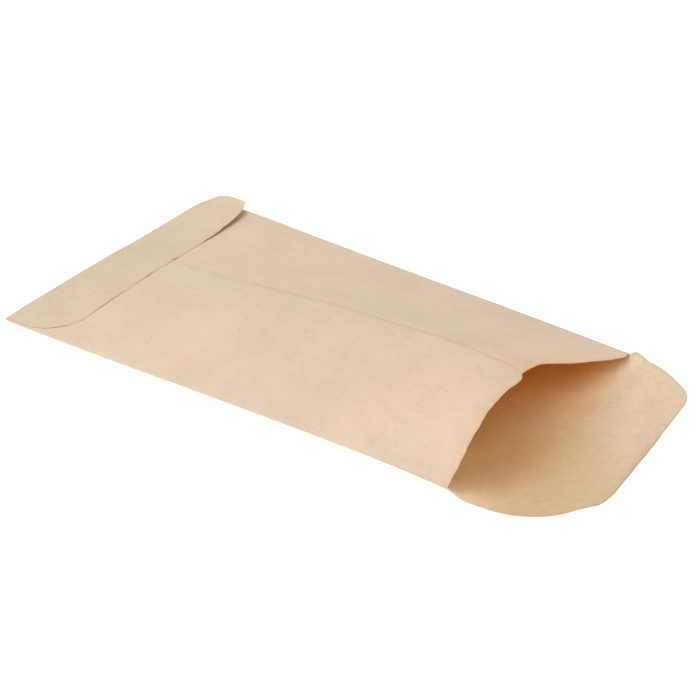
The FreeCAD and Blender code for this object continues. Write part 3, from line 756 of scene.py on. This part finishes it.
def make_bag():
    """The sheet with its thickness: an outer and an inner face, joined round the cut edge."""
    points, marks, faces = make_sheet()
    count = len(points)
    stand = point_normals(points, faces) * PAPER / 2
    pressed = marks[:, [MARKS.index("pressed")]]
    shell = np.concatenate([points + stand * (1 - 2 * pressed), points - stand])
    rim = rim_faces(faces, count)
    all_faces = np.concatenate([faces, faces[:, ::-1] + count, rim])
    mesh = bpy.data.meshes.new("kraft_paper_bag")
    mesh.from_pydata(to_frame(shell).tolist(), [], all_faces.tolist())
    mesh.shade_smooth()
    sharpen_rim(mesh, rim)
    add_looks(mesh, points, marks)
    bag = bpy.data.objects.new("kraft_paper_bag", mesh)
    bpy.context.scene.collection.objects.link(bag)
    return bag


# ---- material ----

# Linear colours of the paper.
PALE = (0.751, 0.653, 0.496)
TAN = (0.716, 0.619, 0.465)
FIBRE = (0.40, 0.27, 0.16)
SPECK = (0.22, 0.13, 0.07)
WORN = (0.64, 0.62, 0.54)

# Tints, which multiply the colour under them, for grain and for marks.
GRAIN = (0.94, 0.94, 0.94)
MARK_TINTS = {
    "glued": (0.97, 0.965, 0.94),
    "rim": (1.0, 0.88, 0.73),
    "tan": (0.86, 0.83, 0.74),
    # By a seam and by a cut edge, the tint is partly painted shadow of the edge.
    "seam": (0.80, 0.78, 0.75),
    "cut": (0.76, 0.90, 0.98),
}
# Painted shadow under a throat's edge, on the inner face.
SHADED_EDGE = (0.50, 0.38, 0.27)
EDGE_SHARPNESS = 4.0

# Tints of the inner face: in the open, then painted shade that is brown, a painted pool of light,
# painted shade that is orange and deep orange deeper in, and painted orange shade in the mouth.
INSIDE = (0.87, 0.95, 0.965)
BROWN = (0.64, 0.60, 0.465)
LIT = (1.27, 1.33, 1.28)
ORANGE = (1.10, 0.78, 0.42)
ORANGE_DEPTHS = (0.40, 0.75)
DEEP = (0.76, 0.32, 0.085)
DEEP_DEPTHS = (0.64, 0.88)
# Painted orange shade in the mouth.
MOUTH_SHADE = (1.0, 0.87, 0.79)
MOTTLE = (0.93, 0.92, 0.90)

# Noises: their scales are in cells to the millimetre, and half_edge is how soft a patch's edge is.
BROAD_CLOUD, FINE_CLOUD = 0.11, 0.6
BROAD_SHARE = 0.6
CLOUD_EDGES = (0.38, 0.62)
GRAIN_NOISE = {"scale": 3.0, "detail": 2.0, "half_edge": 0.2}
RUB_NOISE = {"scale": 1.3, "detail": 3.0, "half_edge": 0.2}
MOTTLE_NOISE = {"scale": 0.8, "detail": 4.0, "half_edge": 0.15}
HAIR_SHARE = 0.22
SPECK_SHARE = 0.55
WORN_SHARE = 0.8

# Hairs: the direction of each kind, and its noise's cells across and along it, in millimetres. They
# grow in clumps, whose scale goes with the direction too.
HAIR_KINDS = ((0.25, 0.9, 6.0), (1.35, 1.1, 5.0), (2.4, 1.0, 7.0))
HAIR_LINE = 0.022
HAIR_DETAIL = 2.0
HAIR_CLUMPS = (0.52, 0.66)
CLUMP_SCALE, CLUMP_SPREAD = 0.55, 9
CLUMP_DETAIL = 1.0

# Specks: how close together their cells are, which cells have one, and how large it is in its cell.
SPECK_CELLS = 0.42
SPECK_CHOICE = (0.74, 0.76)
SPECK_EDGES = (0.085, 0.04)

# The relief of the paper's face, and how rough and shiny it is.
FINE_TOOTH, FINE_DETAIL, FINE_HEIGHT = 5.5, 4.0, 0.5
BROAD_TOOTH, BROAD_DETAIL, BROAD_HEIGHT = 1.1, 3.0, 0.8
HAIR_HEIGHT = 0.25
RELIEF = 0.06
RELIEF_STRENGTH = 0.35
ROUGHNESS = (0.72, 0.92)
ROUGHNESS_SCALE = 2.5
SHINE = 0.3

# The part of the light that goes through the paper, and its colour.
THROUGH = 0.36
GLOW = (0.88, 0.55, 0.25)


class Nodes:
    """Adds nodes to a material, one line each."""

    def __init__(self, material):
        material.use_nodes = True
        self.tree = material.node_tree
        self.shader = self.tree.nodes["Principled BSDF"]
        self.output = self.tree.nodes["Material Output"]

    def add(self, kind, result, settings=None, **inputs):
        """Adds a node with these settings and inputs, and gives the named one of its outputs."""
        node = self.tree.nodes.new("ShaderNode" + kind)
        for name, value in (settings or {}).items():
            setattr(node, name, value)
        for name, value in inputs.items():
            self.put(node, name.replace("_", " "), value)
        return node.outputs[result]

    def put(self, node, name, value):
        """Links a node's input to another's output, or gives it a value."""
        if isinstance(value, bpy.types.NodeSocket):
            self.tree.links.new(value, node.inputs[name])
        else:
            node.inputs[name].default_value = value

    def noise(self, place, scale, detail=3.0):
        return self.add("TexNoise", "Fac", Vector=place, Scale=scale, Detail=detail)

    def patchy(self, place, scale, detail, half_edge):
        """A noise that is mostly 0 or 1, in patches with soft edges."""
        return self.range(self.noise(place, scale, detail), 0.5 - half_edge, 0.5 + half_edge)

    def mark(self, name):
        """A value stored at the mesh's points."""
        return self.add("Attribute", "Fac", {"attribute_name": name})

    def range(self, value, low, high):
        """0 below low, 1 above high, and smooth between."""
        return self.add("MapRange", "Result", {"interpolation_type": "SMOOTHSTEP"},
                        Value=value, From_Min=low, From_Max=high)

    def math(self, kind, first, second):
        node = self.tree.nodes.new("ShaderNodeMath")
        node.operation = kind
        self.put(node, 0, first)
        self.put(node, 1, second)
        return node.outputs[0]

    def blend(self, amount, first, second, kind="MIX"):
        """Mixes two colours. An amount over 1 counts as 1."""
        node = self.tree.nodes.new("ShaderNodeMix")
        node.data_type = "RGBA"
        node.blend_type = kind
        self.put(node, 0, amount)
        self.put(node, 6, first if isinstance(first, bpy.types.NodeSocket) else (*first, 1))
        self.put(node, 7, second if isinstance(second, bpy.types.NodeSocket) else (*second, 1))
        return node.outputs[2]

    def tint(self, colour, amount, by):
        """Multiplies a colour by a tint, as strongly as this amount says."""
        return self.blend(amount, colour, by, "MULTIPLY")


def fibres(nodes, place, turn, width, length):
    """Fine curved hairs that run mostly one way: thin level lines of a stretched noise."""
    stretched = nodes.add("Mapping", "Vector", Vector=place, Rotation=(0, 0, turn),
                          Scale=(1 / length, 1 / width, 1))
    wander = nodes.noise(stretched, 1.0, HAIR_DETAIL)
    off_line = nodes.math("ABSOLUTE", nodes.math("SUBTRACT", wander, 0.5), 0)
    line = nodes.range(off_line, HAIR_LINE, 0.0)
    clumps = nodes.noise(place, CLUMP_SCALE + turn / CLUMP_SPREAD, CLUMP_DETAIL)
    return nodes.math("MULTIPLY", line, nodes.range(clumps, *HAIR_CLUMPS))


def hairs(nodes, place):
    """Hairs of every kind, 1 on a hair."""
    hair = fibres(nodes, place, *HAIR_KINDS[0])
    for kind in HAIR_KINDS[1:]:
        hair = nodes.math("MAXIMUM", hair, fibres(nodes, place, *kind))
    return hair


def specks(nodes, place):
    """A few small round dark specks."""
    cells = nodes.tree.nodes.new("ShaderNodeTexVoronoi")
    nodes.put(cells, "Vector", place)
    nodes.put(cells, "Scale", SPECK_CELLS)
    chance = nodes.add("SeparateColor", "Red", Color=cells.outputs["Color"])
    round_speck = nodes.range(cells.outputs["Distance"], *SPECK_EDGES)
    return nodes.math("MULTIPLY", round_speck, nodes.range(chance, *SPECK_CHOICE))


def outer_colour(nodes, place, hair):
    """Cloudy pulp with hairs and specks, rubbed pale on its folds."""
    broad = nodes.math("MULTIPLY", nodes.noise(place, BROAD_CLOUD), BROAD_SHARE)
    fine = nodes.math("MULTIPLY", nodes.noise(place, FINE_CLOUD), 1 - BROAD_SHARE)
    colour = nodes.blend(nodes.range(nodes.math("ADD", broad, fine), *CLOUD_EDGES), PALE, TAN)
    colour = nodes.tint(colour, nodes.patchy(place, **GRAIN_NOISE), GRAIN)
    colour = nodes.blend(nodes.math("MULTIPLY", hair, HAIR_SHARE), colour, FIBRE)
    dark = nodes.math("MULTIPLY", specks(nodes, place), SPECK_SHARE)
    colour = nodes.blend(dark, colour, SPECK)
    rubbed = nodes.math("MULTIPLY", nodes.mark("wear"), nodes.patchy(place, **RUB_NOISE))
    colour = nodes.blend(nodes.math("MULTIPLY", rubbed, WORN_SHARE), colour, WORN)
    for mark, tint in MARK_TINTS.items():
        colour = nodes.tint(colour, nodes.mark(mark), tint)
    return colour


def inner_tint(nodes, place):
    """What the inner face's colour is multiplied by: painted shade, browner and orange deeper in,
    painted light, painted shadow under the throats' edges, and blotchy.
    """
    depth = nodes.mark("depth")
    tint = nodes.blend(nodes.mark("inside"), (1, 1, 1), INSIDE)
    tint = nodes.blend(nodes.mark("shade"), tint, BROWN)
    tint = nodes.blend(nodes.mark("lit"), tint, LIT)
    tint = nodes.blend(nodes.range(depth, *ORANGE_DEPTHS), tint, ORANGE)
    tint = nodes.blend(nodes.range(depth, *DEEP_DEPTHS), tint, DEEP)
    # Painted orange shade in the mouth.
    tint = nodes.tint(tint, nodes.mark("mouth_shade"), MOUTH_SHADE)
    # Painted shadow under the throats' edges, on the inner face.
    edge = nodes.math("POWER", nodes.mark("rim"), EDGE_SHARPNESS)
    tint = nodes.tint(tint, nodes.math("MULTIPLY", edge, nodes.mark("inside")), SHADED_EDGE)
    blotch = nodes.patchy(place, **MOTTLE_NOISE)
    return nodes.tint(tint, nodes.math("MULTIPLY", blotch, nodes.mark("inside")), MOTTLE)


def paper_relief(nodes, place, hair):
    """The bumps of the paper's face."""
    fine = nodes.math("MULTIPLY", nodes.noise(place, FINE_TOOTH, FINE_DETAIL), FINE_HEIGHT)
    broad = nodes.math("MULTIPLY", nodes.noise(place, BROAD_TOOTH, BROAD_DETAIL), BROAD_HEIGHT)
    tooth = nodes.math("ADD", fine, broad)
    height = nodes.math("ADD", tooth, nodes.math("MULTIPLY", hair, HAIR_HEIGHT))
    return nodes.add("Bump", "Normal",
                     Strength=RELIEF_STRENGTH, Distance=RELIEF * MM, Height=height)


def make_kraft():
    """Machine-made kraft paper, coarse to the touch, with some light that passes through it."""
    material = bpy.data.materials.new("kraft_paper")
    nodes = Nodes(material)
    object_place = nodes.add("TexCoord", "Object")
    place = nodes.add("Mapping", "Vector", Vector=object_place, Scale=(1 / MM, 1 / MM, 1 / MM))
    hair = hairs(nodes, place)
    colour = nodes.tint(outer_colour(nodes, place, hair), 1.0, inner_tint(nodes, place))
    patches = nodes.add("Attribute", "Vector", {"attribute_name": "patches"})
    relief = paper_relief(nodes, place, hair)
    rough = nodes.add("MapRange", "Result", Value=nodes.noise(place, ROUGHNESS_SCALE),
                      To_Min=ROUGHNESS[0], To_Max=ROUGHNESS[1])
    nodes.put(nodes.shader, "Base Color", nodes.tint(colour, 1.0, patches))
    nodes.put(nodes.shader, "Roughness", rough)
    nodes.put(nodes.shader, "Normal", relief)
    nodes.put(nodes.shader, "Specular IOR Level", SHINE)
    glow = nodes.add("BsdfTranslucent", "BSDF", Color=(*GLOW, 1), Normal=relief)
    both = nodes.tree.nodes.new("ShaderNodeMixShader")
    nodes.put(both, 0, THROUGH)
    nodes.put(both, 1, nodes.shader.outputs["BSDF"])
    nodes.put(both, 2, glow)
    nodes.put(nodes.output, "Surface", both.outputs[0])
    return material


# ---- surroundings ----

CAMERA_DISTANCE = 0.5
CAMERA_ELEVATION = math.radians(32.28)
CAMERA_AZIMUTH = math.radians(35.71)
CAMERA_ROLL = math.radians(2.21)
CAMERA_LENS = 138.9
CAMERA_NEAR = 0.01
SENSOR = 36
AIM = (50.0, 0.0, 0.0)
AIM_RIGHT = 6.62
AIM_UP = -0.65

FLOOR_REACH = 3.0
FLOOR_GAP = 0.00005
FLOOR_GREY = 0.5
FLOOR_GLOW = 0.75
SKY_TOP = 1.2
SKY_RIM = 0.45
KEY_PLACE = (-0.17, -0.55, 0.85)
KEY_SIZE = 0.7
KEY_POWER = 7.0


def make_camera():
    """A long lens that looks down on the bag from its mouth's near side."""
    back = Vector((math.sin(CAMERA_AZIMUTH) * math.cos(CAMERA_ELEVATION),
                   -math.cos(CAMERA_AZIMUTH) * math.cos(CAMERA_ELEVATION),
                   math.sin(CAMERA_ELEVATION)))
    level = Vector((math.cos(CAMERA_AZIMUTH), math.sin(CAMERA_AZIMUTH), 0))
    upright = back.cross(level)
    right = math.cos(CAMERA_ROLL) * level + math.sin(CAMERA_ROLL) * upright
    up = back.cross(right)
    target = Vector(to_frame(np.array(AIM))) + MM * (AIM_RIGHT * right + AIM_UP * up)
    data = bpy.data.cameras.new("camera")
    data.sensor_width = SENSOR
    data.lens = CAMERA_LENS
    data.clip_start = CAMERA_NEAR
    camera = bpy.data.objects.new("camera", data)
    place = Matrix.Translation(target + CAMERA_DISTANCE * back)
    camera.matrix_world = place @ Matrix((right, up, back)).transposed().to_4x4()
    bpy.context.scene.collection.objects.link(camera)
    bpy.context.scene.camera = camera


def make_floor():
    """A pale floor with light of its own, so that it stays white, just clear of the paper."""
    mesh = bpy.data.meshes.new("floor")
    sides = ((-1, -1), (1, -1), (1, 1), (-1, 1))
    corners = [(FLOOR_REACH * x, FLOOR_REACH * y, -FLOOR_GAP) for x, y in sides]
    mesh.from_pydata(corners, [], [(0, 1, 2, 3)])
    floor = bpy.data.objects.new("floor", mesh)
    bpy.context.scene.collection.objects.link(floor)
    material = bpy.data.materials.new("floor")
    nodes = Nodes(material)
    nodes.put(nodes.shader, "Base Color", (FLOOR_GREY, FLOOR_GREY, FLOOR_GREY, 1))
    nodes.put(nodes.shader, "Roughness", 1.0)
    nodes.put(nodes.shader, "Emission Color", (1, 1, 1, 1))
    nodes.put(nodes.shader, "Emission Strength", FLOOR_GLOW)
    floor.data.materials.append(material)


def make_light(name, place, size, power):
    """A square light that points at the middle of the bag."""
    data = bpy.data.lights.new(name, "AREA")
    data.shape = "SQUARE"
    data.size = size
    data.energy = power
    light = bpy.data.objects.new(name, data)
    light.location = place
    light.rotation_euler = (-Vector(place)).to_track_quat("-Z", "Y").to_euler()
    bpy.context.scene.collection.objects.link(light)


def make_world():
    """Soft white light from all round, strongest overhead."""
    world = bpy.data.worlds.new("studio")
    world.use_nodes = True
    tree = world.node_tree
    place = tree.nodes.new("ShaderNodeTexCoord")
    apart = tree.nodes.new("ShaderNodeSeparateXYZ")
    tree.links.new(place.outputs["Generated"], apart.inputs[0])
    rise = tree.nodes.new("ShaderNodeMapRange")
    tree.links.new(apart.outputs["Z"], rise.inputs["Value"])
    rise.inputs["To Min"].default_value = SKY_RIM
    rise.inputs["To Max"].default_value = SKY_TOP
    tree.links.new(rise.outputs["Result"], tree.nodes["Background"].inputs["Strength"])
    tree.nodes["Background"].inputs["Color"].default_value = (1, 1, 1, 1)
    bpy.context.scene.world = world
    bpy.context.scene.view_settings.view_transform = "Standard"


make_camera()
make_world()
make_light("key", KEY_PLACE, KEY_SIZE, KEY_POWER)
make_floor()
bag = make_bag()
bag.data.materials.append(make_kraft())
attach(bag, "root")
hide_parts("folded_sheet")
